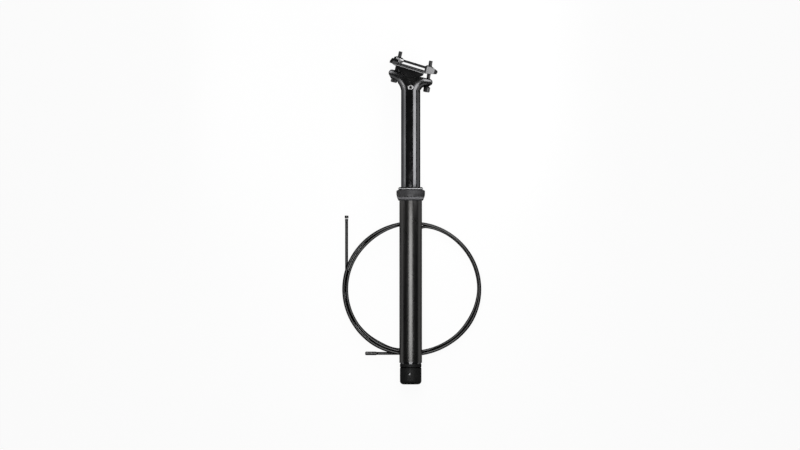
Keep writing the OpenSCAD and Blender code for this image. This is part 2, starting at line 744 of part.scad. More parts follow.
// A tube swept along a path, closed at both ends. The first and last rings are square to straight ends.
module tube(path, r, sides) {
    n = len(path);
    points = [for (i = [0 : n - 1]) each ring_at(path[i], heading(path, i), r, sides)];
    walls = [for (i = [0 : n - 2], k = [0 : sides - 1], t = [0, 1])
        let (a = i * sides + k, b = i * sides + (k + 1) % sides)
        t == 0 ? [a, a + sides, b] : [b, a + sides, b + sides]];
    foot = [for (k = [1 : sides - 2]) [0, k, k + 1]];
    top = [for (k = [1 : sides - 2]) (n - 1) * sides * [1, 1, 1] + [0, k + 1, k]];
    polyhedron(points, concat(walls, foot, top));
}

// Least distance between two points of the coil that are not near each other along it
coil_gap = min([for (i = [0 : len(coil_path) - 8], j = [i + 7 : len(coil_path) - 1])
    norm(coil_path[i] - coil_path[j])]) - 2 * coil_side;
echo(coil_least_gap = coil_gap);

module housing_stub() color("#161616") tube(stub_path, cord_r, 8);
module housing_coil() color("#161616") tube(coil_path, coil_side, 6);
module housing_tail() color("#161616") tube(tail_path, cord_r, 8);

// A ferrule on the end of the housing, turned so that its mouth meets the housing
cap_len = 8;
cap_r = 2.65;
sleeve_len = 15.5;
sleeve_r = 2.55;

module stub_ferrule() color("#b9b9bb") translate(stub_path[len(stub_path) - 1])
    rotate([-90, 0, 0]) rotate_extrude() polygon([[0, 0], [cord_r + 0.2, 0], [cord_r + 0.2, cap_len - 4],
        [cap_r, cap_len - 3.6], [cap_r, cap_len - 0.5], [cap_r - 0.5, cap_len], [0.8, cap_len],
        [0.8, cap_len - 3], [0, cap_len - 3]]);

module tail_ferrule() color("#1b1b1b") translate(tail_path[len(tail_path) - 1])
    rotate([0, -90, 0]) rotate_extrude() polygon([[0, 0], [sleeve_r - 0.2, 0], [sleeve_r, 0.3],
        [sleeve_r, sleeve_len - 1], [sleeve_r - 1, sleeve_len], [0.8, sleeve_len], [0.8, sleeve_len - 5],
        [0, sleeve_len - 5]]);

lower_tube();
seal_collar();
wiper_seal();
foam_ring();
upper_bushing();
base_plug();
base_o_ring();
actuator_housing();
lever_pivot_pin();
cable_stop();
piston_rod();
rod_nut();
piston();
stanchion();
seat_head();
glide_bushing();
key_pins();
gas_cylinder();
cylinder_gland();
cylinder_cap();
cap_screw();
floating_piston();
lower_cradle();
upper_clamp();
front_bolt();
rear_bolt();
front_washer();
rear_washer();
front_barrel_nut();
rear_barrel_nut();
actuator_lever();
cable_barrel();
barrel_screw();
valve_pin();
housing_stub();
housing_coil();
housing_tail();
stub_ferrule();
tail_ferrule();
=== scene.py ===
"""Looks of a dropper seatpost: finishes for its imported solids, its cable housing, bolt threads and a studio.

Run as a script in Blender. Lengths are in metres in the part's own frame: +Y runs up the post, +X points to
the front of the bicycle, and +Z points up from the surface that the post lies on.
"""

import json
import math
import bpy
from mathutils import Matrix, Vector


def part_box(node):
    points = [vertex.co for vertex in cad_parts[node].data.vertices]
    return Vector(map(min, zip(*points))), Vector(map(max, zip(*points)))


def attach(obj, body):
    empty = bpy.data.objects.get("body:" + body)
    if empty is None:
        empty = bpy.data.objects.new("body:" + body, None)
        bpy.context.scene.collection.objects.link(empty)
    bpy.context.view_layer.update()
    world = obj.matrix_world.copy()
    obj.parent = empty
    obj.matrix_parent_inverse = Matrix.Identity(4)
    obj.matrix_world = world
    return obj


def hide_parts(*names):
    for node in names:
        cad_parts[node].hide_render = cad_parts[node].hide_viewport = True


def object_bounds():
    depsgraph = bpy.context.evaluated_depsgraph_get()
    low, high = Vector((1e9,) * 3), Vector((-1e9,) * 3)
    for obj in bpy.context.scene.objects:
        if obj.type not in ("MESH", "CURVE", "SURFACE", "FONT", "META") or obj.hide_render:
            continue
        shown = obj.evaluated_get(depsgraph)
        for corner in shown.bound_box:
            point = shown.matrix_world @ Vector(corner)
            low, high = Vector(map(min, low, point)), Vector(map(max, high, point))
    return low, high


bl_info = {
    "name": "Dropper Seatpost",
    "version": (1, 0, 0),
    "blender": (4, 5, 0),
    "location": "3D View > Sidebar > Seatpost",
    "description": "Finishes, cable housing, bolt threads and studio for a dropper seatpost",
    "category": "Object",
}

import bpy
import numpy as np
from mathutils import Vector

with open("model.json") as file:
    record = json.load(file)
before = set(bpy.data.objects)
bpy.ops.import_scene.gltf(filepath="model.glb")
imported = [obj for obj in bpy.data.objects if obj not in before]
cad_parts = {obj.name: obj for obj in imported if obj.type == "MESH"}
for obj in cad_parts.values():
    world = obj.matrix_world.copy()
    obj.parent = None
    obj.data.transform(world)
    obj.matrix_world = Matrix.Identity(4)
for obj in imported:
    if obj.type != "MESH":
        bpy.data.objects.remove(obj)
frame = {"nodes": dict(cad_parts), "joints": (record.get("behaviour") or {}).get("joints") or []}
NODES = frame["nodes"]
CAD_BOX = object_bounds()
FLOOR_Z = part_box("lower_cradle")[0][2]

# Sockets of a Mix node in colour mode.
MIX_FACTOR, MIX_A, MIX_B, MIX_RESULT = 0, 6, 7, 2
# Most values of a noise pattern lie between these.
NOISE_LOW, NOISE_HIGH = 0.3, 0.7
# Reach of a pattern along an axis that doesn't bound it.
ENDLESS = 1.0


class HousingSize(bpy.types.PropertyGroup):
    """Sizes of the cable housing and its coil."""

    diameter: bpy.props.FloatProperty(
        name="Diameter", description="Outside of the jacket", default=0.0041, unit="LENGTH")
    loop_radius: bpy.props.FloatProperty(
        name="Loop radius", description="Radius of the inner loop", default=0.0907, unit="LENGTH")
    loop_step: bpy.props.FloatProperty(
        name="Loop step", description="Distance between loops that lie side by side", default=0.00425, unit="LENGTH")
    squash: bpy.props.FloatProperty(
        name="Squash", description="Height of the coil over its width", default=0.975)
    turn_radius: bpy.props.FloatProperty(
        name="Turn radius", description="Radius of the two bends behind the post", default=0.017, unit="LENGTH")
    rest_height: bpy.props.FloatProperty(
        name="Rest height", description="Height of the last turn where it meets the post",
        default=0.010225, unit="LENGTH")


class ThreadSize(bpy.types.PropertyGroup):
    """Sizes of the clamp bolts' threads."""

    pitch: bpy.props.FloatProperty(
        name="Pitch", description="Distance between two crests", default=0.0009, unit="LENGTH")
    root: bpy.props.FloatProperty(
        name="Root radius", description="Radius at the bottom of the thread", default=0.00252, unit="LENGTH")
    crest: bpy.props.FloatProperty(
        name="Crest radius", description="Radius at the top of the thread", default=0.00268, unit="LENGTH")
    below: bpy.props.FloatProperty(
        name="Below nut", description="Length of thread below the nut", default=0.009, unit="LENGTH")
    above: bpy.props.FloatProperty(
        name="Above nut", description="Length of thread above the nut", default=0.0117, unit="LENGTH")


class FinishColour(bpy.types.PropertyGroup):
    """Colours of the finishes that show."""

    tube: bpy.props.FloatVectorProperty(
        name="Lower tube", description="Satin anodised black", subtype="COLOR", default=(0.06, 0.059, 0.0575))
    stanchion: bpy.props.FloatVectorProperty(
        name="Stanchion", description="Gloss anodised black", subtype="COLOR", default=(0.08, 0.08, 0.083))
    collar: bpy.props.FloatVectorProperty(
        name="Collar", description="Turned and anodised dark grey", subtype="COLOR", default=(0.058, 0.058, 0.06))
    wiper: bpy.props.FloatVectorProperty(
        name="Wiper ring", description="Light grey ring on the wiper seal", subtype="COLOR", default=(0.35, 0.35, 0.36))
    head: bpy.props.FloatVectorProperty(
        name="Head", description="Forged and anodised black", subtype="COLOR", default=(0.08, 0.08, 0.082))
    clamp: bpy.props.FloatVectorProperty(
        name="Clamp nose", description="Bare blasted alloy", subtype="COLOR", default=(0.2, 0.2, 0.204))
    cradle: bpy.props.FloatVectorProperty(
        name="Cradle", description="Satin anodised black", subtype="COLOR", default=(0.075, 0.075, 0.077))
    actuator: bpy.props.FloatVectorProperty(
        name="Actuator", description="Moulded matt black", subtype="COLOR", default=(0.024, 0.024, 0.024))
    jacket: bpy.props.FloatVectorProperty(
        name="Housing jacket", description="Extruded black jacket", subtype="COLOR", default=(0.026, 0.026, 0.026))


class StudioSettings(bpy.types.PropertyGroup):
    """Camera and light of the studio."""

    view_width: bpy.props.FloatProperty(
        name="View width", description="Width of the picture at the post's axis", default=1.1143, unit="LENGTH")
    view_x: bpy.props.FloatProperty(
        name="View centre X", description="Middle of the picture across the post", default=-0.0149, unit="LENGTH")
    view_y: bpy.props.FloatProperty(
        name="View centre Y", description="Middle of the picture along the post", default=0.1908, unit="LENGTH")
    lens_mm: bpy.props.FloatProperty(
        name="Lens", description="Focal length in millimetres", default=500.0)
    floor: bpy.props.FloatVectorProperty(
        name="Floor", description="Pale floor", subtype="COLOR", default=(0.8, 0.8, 0.8))


def settings(group):
    """The scene's property group of that name."""
    return getattr(bpy.context.scene, group)


def joint_place(name):
    """Where the joint of that name lies."""
    return next(np.array(joint["pos_m"]) for joint in frame["joints"] if joint["name"] == name)


class Finish:
    """A material on one Principled shader, to which patterns are added one by one."""

    def __init__(self, name, colour, roughness, metallic=0.0, **sockets):
        self.material = bpy.data.materials.new(name)
        self.material.use_nodes = True
        self.tree = self.material.node_tree
        self.shader = self.tree.nodes["Principled BSDF"]
        self.roughness = roughness
        self.colour = (*colour, 1.0)
        self.shader.inputs["Base Color"].default_value = self.colour
        self.shader.inputs["Roughness"].default_value = roughness
        self.shader.inputs["Metallic"].default_value = metallic
        for socket, value in sockets.items():
            self.shader.inputs[socket.replace("_", " ")].default_value = value
        self.coords = self.tree.nodes.new("ShaderNodeTexCoord").outputs["Object"]
        self.height = None
        self.coloured = None
        self.metal = None

    def node(self, kind, **values):
        """A new node with its sockets and settings filled in."""
        made = self.tree.nodes.new(kind)
        for key, value in values.items():
            if key in made.inputs:
                made.inputs[key].default_value = value
            else:
                setattr(made, key, value)
        return made

    def link(self, source, target):
        self.tree.links.new(source, target)

    def follow_uv(self):
        """Patterns added after this follow the piece's own UV map, in metres along and turns round."""
        self.coords = self.tree.nodes.new("ShaderNodeTexCoord").outputs["UV"]
        return self

    def stretched(self, scale):
        """The pattern's coordinates, stretched by three factors."""
        mapping = self.node("ShaderNodeMapping", Scale=scale)
        self.link(self.coords, mapping.inputs["Vector"])
        return mapping.outputs["Vector"]

    def noise(self, scale, detail=3.0, stretch=(1.0, 1.0, 1.0)):
        made = self.node("ShaderNodeTexNoise", Scale=scale, Detail=detail)
        self.link(self.stretched(stretch), made.inputs["Vector"])
        return made.outputs["Fac"]

    def lines(self, pitch, axis="Y", wobble=0.0):
        """Fine ridges square to an axis, one every pitch. Blender's wave repeats every pi / 10 over its scale."""
        made = self.node("ShaderNodeTexWave", bands_direction=axis, Scale=math.pi / 10 / pitch, Distortion=wobble)
        self.link(self.stretched((1.0, 1.0, 1.0)), made.inputs["Vector"])
        return made.outputs["Fac"]

    def cells(self, scale):
        made = self.node("ShaderNodeTexVoronoi", Scale=scale)
        self.link(self.stretched((1.0, 1.0, 1.0)), made.inputs["Vector"])
        return made.outputs["Distance"]

    def between(self, fac, low, high):
        """A pattern's middle range spread from low to high."""
        made = self.node("ShaderNodeMapRange")
        ends = {"From Min": NOISE_LOW, "From Max": NOISE_HIGH, "To Min": low, "To Max": high}
        for key, value in ends.items():
            made.inputs[key].default_value = value
        self.link(fac, made.inputs["Value"])
        return made.outputs["Result"]

    def rough(self, fac, spread):
        """Roughness that follows a pattern, up and down from the finish's own."""
        self.link(self.between(fac, self.roughness - spread, self.roughness + spread), self.shader.inputs["Roughness"])
        return self

    def tone(self, fac, darker, lighter):
        """Colour that follows a pattern, from darker to lighter times the finish's own."""
        mix = self.node("ShaderNodeMix", data_type="RGBA")
        mix.inputs[MIX_A].default_value = (*[c * darker for c in self.colour[:3]], 1.0)
        mix.inputs[MIX_B].default_value = (*[c * lighter for c in self.colour[:3]], 1.0)
        self.link(self.between(fac, 0.0, 1.0), mix.inputs[MIX_FACTOR])
        self.coloured = mix.outputs[MIX_RESULT]
        self.link(self.coloured, self.shader.inputs["Base Color"])
        return self

    def inside(self, middle, reach, turn=0.0):
        """1 within reach of a middle place on every axis, and 0 outside, with the axes turned about Z in degrees."""
        place = self.node("ShaderNodeMapping", vector_type="TEXTURE", Location=middle)
        place.inputs["Rotation"].default_value = (0.0, 0.0, math.radians(turn))
        self.link(self.coords, place.inputs["Vector"])
        axes = self.node("ShaderNodeSeparateXYZ")
        self.link(place.outputs["Vector"], axes.inputs["Vector"])
        both = None
        for axis, far in zip("XYZ", reach):
            near = self.node("ShaderNodeMath", operation="COMPARE")
            near.inputs[1].default_value = 0.0
            near.inputs[2].default_value = far
            self.link(axes.outputs[axis], near.inputs[0])
            if both is not None:
                times = self.node("ShaderNodeMath", operation="MULTIPLY")
                self.link(both, times.inputs[0])
                self.link(near.outputs[0], times.inputs[1])
                near = times
            both = near.outputs[0]
        return both

    def band(self, y, reach):
        """1 within reach of a place along the post, all the way round it, and 0 elsewhere."""
        return self.inside((0.0, y, 0.0), (ENDLESS, reach, ENDLESS))

    def shade(self, fac, colour):
        """Another colour of the same finish where the pattern is 1."""
        mix = self.node("ShaderNodeMix", data_type="RGBA")
        mix.inputs[MIX_B].default_value = (*colour, 1.0)
        self.link(fac, mix.inputs[MIX_FACTOR])
        self.link(self.coloured, mix.inputs[MIX_A])
        self.coloured = mix.outputs[MIX_RESULT]
        self.link(self.coloured, self.shader.inputs["Base Color"])
        return self

    def patch(self, fac, colour):
        """Paint, a blasted face or a painted highlight of another colour where the pattern is 1."""
        self.shade(fac, colour)
        bare = self.node("ShaderNodeMath", operation="SUBTRACT", use_clamp=True)
        if self.metal is None:
            bare.inputs[0].default_value = self.shader.inputs["Metallic"].default_value
        else:
            self.link(self.metal, bare.inputs[0])
        self.link(fac, bare.inputs[1])
        self.metal = bare.outputs[0]
        self.link(self.metal, self.shader.inputs["Metallic"])
        return self

    def end_faces(self, middle, heights, reach, turn, colour):
        """Patches of the faces that end a piece at these heights, within reach of a middle place."""
        for height in heights:
            place = middle + np.array([0.0, 0.0, height])
            self.patch(self.inside(place, reach, turn), colour)
        return self

    def bump(self, fac, depth):
        """Relief of a pattern, depth metres high, laid over the relief already there."""
        made = self.node("ShaderNodeBump", Strength=1.0, Distance=depth)
        self.link(fac, made.inputs["Height"])
        if self.height is not None:
            self.link(self.height, made.inputs["Normal"])
        self.height = made.outputs["Normal"]
        self.link(self.height, self.shader.inputs["Normal"])
        return self

    def on(self, *names):
        """Gives the finish to CAD nodes."""
        for name in names:
            slots = NODES[name].data.materials
            slots.clear()
            slots.append(self.material)
        return self


def dyed(edge):
    """Sockets of black dyed anodising, a dark metal that swallows light which grazes it."""
    return {"metallic": 1.0, "Specular_Tint": (edge, edge, edge, 1.0)}


def anodised(name, colour, roughness, grain=0.000001, cloud=0.05, **sockets):
    """Anodised alloy: fine blasted grain, faint cloudy gloss and tone."""
    made = Finish(name, colour, roughness, **sockets)
    made.rough(made.noise(90.0), cloud)
    made.tone(made.noise(40.0, detail=5.0), 1.0 - 3 * cloud, 1.0 + 3 * cloud)
    made.bump(made.noise(4500.0, detail=2.0), grain)
    return made


def turned(name, colour, roughness, pitch, depth, axis="Y", **sockets):
    """Turned metal: fine ridges round the axis, with a slow change of gloss along it."""
    made = Finish(name, colour, roughness, **sockets)
    made.rough(made.noise(120.0, stretch=(0.2, 1.0, 0.2)), 0.06)
    made.tone(made.noise(300.0, stretch=(0.1, 1.0, 0.1)), 0.9, 1.1)
    made.bump(made.lines(pitch, axis=axis, wobble=0.3), depth)
    return made


def moulded(name, colour, roughness, scale, depth, **sockets):
    """Moulded plastic or rubber: a spark-eroded grain and a faint cloudy gloss."""
    made = Finish(name, colour, roughness, **sockets)
    made.rough(made.noise(150.0), 0.07)
    made.tone(made.noise(500.0), 0.88, 1.12)
    made.bump(made.cells(scale), depth)
    return made


def new_piece(name, points, faces, material, uv=None):
    """A smooth mesh object at the origin. uv holds one pair for each corner, in the faces' order."""
    mesh = bpy.data.meshes.new(name)
    mesh.from_pydata(points.tolist(), [], faces)
    mesh.polygons.foreach_set("use_smooth", np.ones(len(mesh.polygons), bool))
    if uv is not None:
        layer = mesh.uv_layers.new(name="UVMap")
        layer.data.foreach_set("uv", np.asarray(uv, np.float32).ravel())
    mesh.materials.append(material)
    mesh.validate()
    mesh.update()
    piece = bpy.data.objects.new(name, mesh)
    bpy.context.scene.collection.objects.link(piece)
    return piece


def grid_faces(rings, sides):
    """Quads between neighbouring rings of a closed grid, ring by ring, each turned outwards."""
    i, k = np.meshgrid(np.arange(rings - 1), np.arange(sides), indexing="ij")
    a = i * sides + k
    b = i * sides + (k + 1) % sides
    return np.stack([a, b, b + sides, a + sides], axis=-1).reshape(-1, 4)


def ease(a, a0, a1):
    """Smooth step t * t * (3 - 2 t) while a goes from a0 to a1."""
    t = np.clip((a - a0) / (a1 - a0), 0.0, 1.0)
    return t * t * (3.0 - 2.0 * t)


def clock(a):
    """Unit directions at clock angles in degrees, turning right from the top."""
    a = np.radians(np.asarray(a, float))
    return np.stack([np.sin(a), np.cos(a)], axis=-1)


def smooth_route(points, spacing):
    """A cubic through the points: Hermite pieces whose tangents are the chord slopes' weighted means."""
    chords = np.diff(points, axis=0)
    steps = np.linalg.norm(chords, axis=1)
    along = np.concatenate([[0.0], np.cumsum(steps)])
    slopes = chords / steps[:, None]
    before, after = steps[:-1, None], steps[1:, None]
    middle = (slopes[:-1] * after + slopes[1:] * before) / (before + after)
    tangents = np.concatenate([slopes[:1], middle, slopes[-1:]])
    at = np.linspace(0.0, along[-1], int(along[-1] / spacing))
    i = np.clip(np.searchsorted(along, at, side="right") - 1, 0, len(steps) - 1)
    t = ((at - along[i]) / steps[i])[:, None]
    h = steps[i][:, None]
    return ((2 * t**3 - 3 * t**2 + 1) * points[i] + (t**3 - 2 * t**2 + t) * h * tangents[i]
            + (3 * t**2 - 2 * t**3) * points[i + 1] + (t**3 - t**2) * h * tangents[i + 1])


def hump(a, a0, a1, a2, a3):
    """Smooth step up from a0 to a1 and down again from a2 to a3."""
    return ease(a, a0, a1) - ease(a, a2, a3)


def housing_points(size):
    """The housing's chosen points from the stub, under the loops, up behind the post, round twice and down to the tail.

    A loop's radius and height are sums of smooth steps over its clock angle, counted on through the turns.
    """
    centre = np.array([0.0015, 0.1012])
    step_a, bend_steps = 15.0, 6
    # Radii of the loops, of the bends behind the post, of the stub, of the turn that it goes into and of the tail.
    loop_r, turn = size.loop_radius, size.turn_radius
    stub_r, inner, tail_r = 0.0909, loop_r - 0.0019, loop_r + 0.0011
    # The loops swell at upper right, dip at the foot on the first turn and draw in there on the second.
    swell, dip, draw_in = 0.0026, 0.0008, 0.0016
    swell_a = (-5.0, 35.0, 85.0, 125.0)
    # Clock angles where the entry leaves for the post, joins the loops, and where the loops end and drop.
    leave_a, join_a, end_a, drop_a = 195.0, 15.0, 705.0, 355.0
    # Heights over the floor: the first turn, one on top of it, the last one at the post and the one below that.
    stack_gap, floor_gap = 0.0006, 0.0001
    stack = size.diameter + stack_gap
    low = size.diameter / 2 + floor_gap
    high, rest = low + stack, size.rest_height
    mid = rest - stack

    a = np.arange(270.0, leave_a - 1.0, -step_a)
    entry = (stub_r + (inner - stub_r) * ease(-a, -240.0, -205.0))[:, None] * clock(a)
    in_c = (inner - turn) * clock(leave_a)
    out_c = (loop_r + swell * ease(join_a, *swell_a[:2]) - turn) * clock(join_a)
    link = out_c - in_c
    link_a = math.degrees(math.atan2(link[1], link[0]) + math.asin(2 * turn / np.linalg.norm(link)))
    a = 90.0 - leave_a + (link_a - 180.0 + leave_a) * np.arange(1, bend_steps + 1) / bend_steps
    turn_in = in_c + turn * clock(90.0 - a)
    a = link_a + 90.0 - (link_a + join_a) * np.arange(bend_steps) / bend_steps
    turn_out = out_c + turn * clock(90.0 - a)
    middle = turn_in[-1] + np.array([[0.25], [0.5], [0.75]]) * (turn_out[0] - turn_in[-1])
    flat = np.concatenate([[[-stub_r, size.diameter]], entry, turn_in, middle, turn_out])
    flat = np.column_stack([flat, np.full(len(flat), low)])

    a = np.append(np.arange(join_a, end_a + 1.0, step_a), 360.0 + drop_a)
    radius = (loop_r + swell * hump(a, *swell_a) - dip * hump(a, 130.0, 160.0, 190.0, 215.0)
              + size.loop_step * ease(a, 310.0, 375.0) - draw_in * hump(a, 475.0, 515.0, 550.0, 580.0))
    height = (low + stack * ease(a, 140.0, 168.0) - (high - mid) * hump(a, 310.0, 340.0, 378.0, 400.0)
              + (rest - high) * (hump(a, 470.0, 505.0, 565.0, 600.0) + ease(a, 660.0, 700.0)))
    loops = np.column_stack([radius[:, None] * clock(a), height])[:-1]

    drop_c = (radius[-1] - turn) * clock(drop_a)
    part = np.arange(bend_steps + 1) / bend_steps
    drop_turn = drop_c + turn * clock(drop_a + (450.0 - drop_a) * part)
    foot_turn = [drop_c[0], turn - tail_r] + turn * clock(90.0 + 90.0 * part)
    part = np.array([[0.035], [0.1], [0.25], [0.5], [0.75], [0.9], [0.965]])
    drop_run = drop_turn[-1] + part * (foot_turn[0] - drop_turn[-1])
    drop = np.concatenate([drop_turn, drop_run, foot_turn, foot_turn[-1:] - [size.diameter, 0.0]])
    fall = ease(np.arange(len(drop)) / (len(drop) - 1), 0.25, 0.65)
    drop = np.column_stack([drop, rest + (low - rest) * fall])
    coil = np.concatenate([flat, loops, drop])
    coil = np.column_stack([centre[0] + coil[:, 0], centre[1] + size.squash * coil[:, 1], FLOOR_Z + coil[:, 2]])

    # Places along the straight ends and heights over the floor, in millimetres.
    run = np.array([[196, 2.75], [188, 2.6], [176, 2.4], [164, 2.2], [152, 2.1], [140, 2.1], [128, 2.1], [116, 2.1]])
    stub = np.column_stack([np.full(len(run), coil[0, 0]), run[:, 0] / 1000, FLOOR_Z + run[:, 1] / 1000])
    run = np.array([[-14, 2.1], [-24, 2.1], [-34, 2.3], [-42, 2.6], [-48, 2.75]])
    tail = np.column_stack([run[:, 0] / 1000, np.full(len(run), coil[-1, 1]), FLOOR_Z + run[:, 1] / 1000])
    return np.concatenate([stub, coil, tail])


def tube_along(path, radius, sides):
    """Rings of a round tube: p + r (cos v s + sin v u), with s level and square to the path and u square to both."""
    ahead = np.gradient(path, axis=0)
    ahead /= np.linalg.norm(ahead, axis=1)[:, None]
    level = np.cross(ahead, [0.0, 0.0, 1.0])
    level /= np.linalg.norm(level, axis=1)[:, None]
    up = np.cross(level, ahead)
    v = np.linspace(0.0, 2 * np.pi, sides, endpoint=False)[None, :, None]
    rings = path[:, None] + radius * (np.cos(v) * level[:, None] + np.sin(v) * up[:, None])
    return rings.reshape(-1, 3)


class SEATPOST_OT_stage(bpy.types.Operator):
    """Camera, pale floor and soft lights, with the post lying as in a product picture"""

    bl_idname = "seatpost.stage"
    bl_label = "Studio"

    def execute(self, context):
        studio = settings("seatpost_studio")
        scene = context.scene
        scene.view_settings.view_transform = "Standard"
        camera = bpy.data.objects.new("picture_camera", bpy.data.cameras.new("picture_camera"))
        camera.data.lens = studio.lens_mm
        camera.data.sensor_width = 36.0
        camera.data.clip_end = 40.0
        distance = studio.lens_mm * studio.view_width / camera.data.sensor_width
        camera.location = (studio.view_x, studio.view_y, distance)
        scene.collection.objects.link(camera)
        scene.camera = camera
        self.floor(studio)
        self.world(scene)
        self.softbox("right_softbox", along=0.431, aside=47.0, distance=0.2, size=(0.368, 0.124), power=0.74)
        self.softbox("left_softbox", along=0.43, aside=-73.0, distance=0.3, size=(0.37, 0.096), power=0.25)
        self.softbox("top_softbox", along=0.106, aside=-1.0, distance=0.3, size=(0.237, 0.165), power=0.87)
        self.softbox("head_softbox", along=0.4, behind=62.0, distance=0.9, size=(0.5, 0.7), power=6.0)
        flare = self.softbox(
            "flare_softbox", along=0.39, aside=-73.0, behind=-28.0, distance=0.5, size=(0.24, 0.14), power=0.04)
        flare.data.spread = math.radians(50.0)
        return {"FINISHED"}

    def softbox(self, name, along, distance, size, power, aside=0.0, behind=0.0):
        """An area light that faces a place along the post, turned aside or behind from straight above it.

        The angles are in degrees. The size is the level length and the length that rises, and the power is in watts.
        """
        light = bpy.data.lights.new(name, "AREA")
        light.shape = "RECTANGLE"
        light.size, light.size_y = size
        light.energy = power
        lamp = bpy.data.objects.new(name, light)
        a, b = math.radians(aside), math.radians(behind)
        out = Vector((math.sin(a) * math.cos(b), math.sin(b), math.cos(a) * math.cos(b)))
        lamp.location = Vector((0.0, along, 0.0)) + distance * out
        lamp.rotation_euler = out.to_track_quat("Z", "Y").to_euler()
        lamp.visible_camera = False
        bpy.context.scene.collection.objects.link(lamp)
        return lamp

    def seen_directly(self, tree):
        """1 for rays from the camera and for what metal and glass show, and 0 for the light that falls on things."""
        path = tree.nodes.new("ShaderNodeLightPath")
        total = path.outputs["Is Camera Ray"]
        for kind in ("Is Glossy Ray", "Is Transmission Ray"):
            either = tree.nodes.new("ShaderNodeMath")
            either.operation = "MAXIMUM"
            tree.links.new(total, either.inputs[0])
            tree.links.new(path.outputs[kind], either.inputs[1])
            total = either.outputs[0]
        return total

    def floor(self, studio):
        """A level square floor, white where it is seen but for a share that takes light and shadow."""
        half, gap, white_share = 4.0, 0.0002, 0.95
        corners = np.array([[-half, -half], [half, -half], [half, half], [-half, half]])
        points = np.column_stack([corners, np.full(len(corners), FLOOR_Z - gap)])
        material = bpy.data.materials.new("pale_floor")
        material.use_nodes = True
        tree = material.node_tree
        tree.nodes.clear()
        out = tree.nodes.new("ShaderNodeOutputMaterial")
        mix = tree.nodes.new("ShaderNodeMixShader")
        matt = tree.nodes.new("ShaderNodeBsdfDiffuse")
        matt.inputs["Color"].default_value = (*studio.floor, 1.0)
        white = tree.nodes.new("ShaderNodeEmission")
        share = tree.nodes.new("ShaderNodeMapRange")
        share.inputs["To Max"].default_value = white_share
        tree.links.new(self.seen_directly(tree), share.inputs["Value"])
        tree.links.new(share.outputs["Result"], mix.inputs[0])
        tree.links.new(matt.outputs[0], mix.inputs[1])
        tree.links.new(white.outputs[0], mix.inputs[2])
        tree.links.new(mix.outputs[0], out.inputs["Surface"])
        new_piece("studio_floor", points, [[0, 1, 2, 3]], material)

    def world(self, scene):
        """A dim sky over a white horizon, by how far a ray rises."""
        world = bpy.data.worlds.new("studio_world")
        scene.world = world
        world.use_nodes = True
        tree = world.node_tree
        back = tree.nodes["Background"]
        back.inputs["Color"].default_value = (1.0, 1.0, 1.0, 1.0)
        axes = tree.nodes.new("ShaderNodeSeparateXYZ")
        tree.links.new(tree.nodes.new("ShaderNodeTexCoord").outputs["Generated"], axes.inputs["Vector"])
        level = tree.nodes.new("ShaderNodeMapRange")
        ends = {"From Min": 0.05, "From Max": 0.14, "To Min": 1.0, "To Max": 0.06}
        for key, value in ends.items():
            level.inputs[key].default_value = value
        tree.links.new(axes.outputs["Z"], level.inputs["Value"])
        tree.links.new(level.outputs["Result"], back.inputs["Strength"])


class SEATPOST_OT_cable_housing(bpy.types.Operator):
    """Cable housing: a round jacket wound in loops under the post, with a ferrule on each end"""

    bl_idname = "seatpost.cable_housing"
    bl_label = "Cable housing"

    def execute(self, context):
        size = settings("seatpost_housing")
        jacket = Finish("housing_jacket_black", settings("seatpost_colour").jacket, roughness=0.18, **dyed(0.0))
        jacket.follow_uv()
        jacket.rough(jacket.noise(60.0, stretch=(1.0, 6.0, 1.0)), 0.05)
        jacket.tone(jacket.noise(25.0, stretch=(1.0, 3.0, 1.0)), 0.85, 1.2)
        jacket.bump(jacket.noise(900.0, stretch=(0.25, 0.03, 1.0)), 0.000003)
        sides = 20
        path = smooth_route(housing_points(size), spacing=0.003)
        points = tube_along(path, size.diameter / 2, sides)
        quads = grid_faces(len(path), sides)
        along = np.concatenate([[0.0], np.cumsum(np.linalg.norm(np.diff(path, axis=0), axis=1))])
        ring, side = np.divmod(np.arange(len(quads)), sides)
        v0, v1 = side / sides, (side + 1) / sides
        uv = np.stack([along[ring], v0, along[ring], v1, along[ring + 1], v1, along[ring + 1], v0], axis=-1)
        ends = np.zeros(4 * sides)
        faces = quads.tolist() + [list(range(sides))[::-1], list(range(len(points) - sides, len(points)))]
        piece = new_piece("cable_housing", points, faces, jacket.material, np.concatenate([uv.ravel(), ends]))
        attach(piece, "lower_post")
        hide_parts("housing_stub", "housing_coil", "housing_tail")
        self.ferrules()
        return {"FINISHED"}

    def ferrules(self):
        """Moulded caps on both ends, the stub's with a light ring round its middle."""
        black = {"colour": (0.05, 0.05, 0.05), "roughness": 0.3, "scale": 3500.0, "depth": 0.000005, **dyed(0.1)}
        light_ring = (0.5, 0.5, 0.5)
        cap = moulded("stub_ferrule_black", **black)
        middle = np.mean(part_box("stub_ferrule"), axis=0)
        cap.patch(cap.band(middle[1], reach=0.0006), light_ring).on("stub_ferrule")
        moulded("tail_ferrule_black", **black).on("tail_ferrule")


